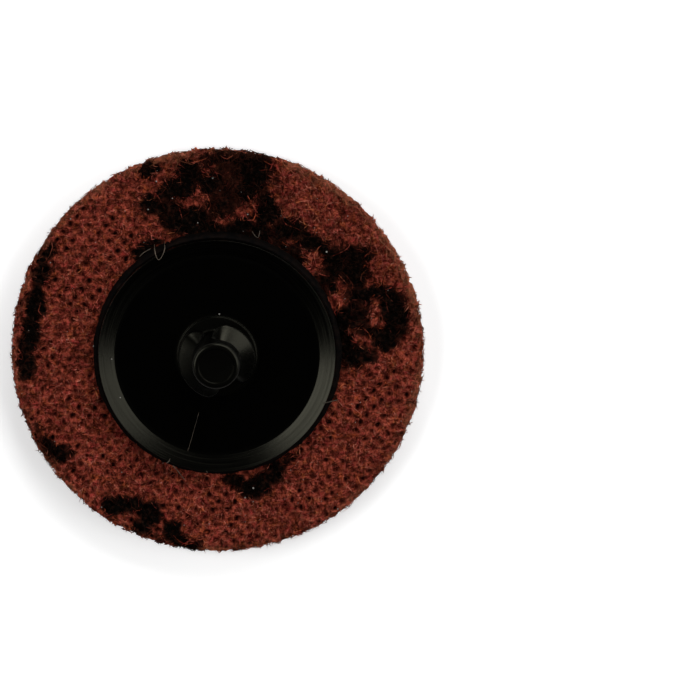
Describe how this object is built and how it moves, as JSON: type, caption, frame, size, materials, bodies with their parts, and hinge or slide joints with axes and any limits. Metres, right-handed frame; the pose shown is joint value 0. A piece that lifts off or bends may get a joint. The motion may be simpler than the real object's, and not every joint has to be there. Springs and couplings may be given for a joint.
{
  "type": "surface conditioning disc",
  "caption": "Round surface conditioning disc of open abrasive nylon web on a felted woven scrim, with a dished quick-change button and a threaded stud at the back.",
  "frame": {"origin": "centre of the working face, at the lowest point of the disc", "axes": "+Z along the stud, from the working face towards the stud's tip; the disc lies across X and Y"},
  "size_m": [0.05, 0.05, 0.0116],
  "materials": {
    "maroon_abrasive_nylon": "open tangle of resin-coated nylon fibre with abrasive grain, half gloss",
    "rust_felted_scrim": "plain-woven scrim covered with short felted fibre, matte, with dark resin stains",
    "black_hot_melt": "hot-melt glue, half gloss, rounded where it squeezed out",
    "black_moulded_nylon": "injection-moulded nylon, half gloss"
  },
  "bodies": {
    "root": {"abrasive_web": "maroon_abrasive_nylon", "scrim_backing": "rust_felted_scrim", "glue_layer": "black_hot_melt", "mounting_button": "black_moulded_nylon"}
  },
  "joints": []
}
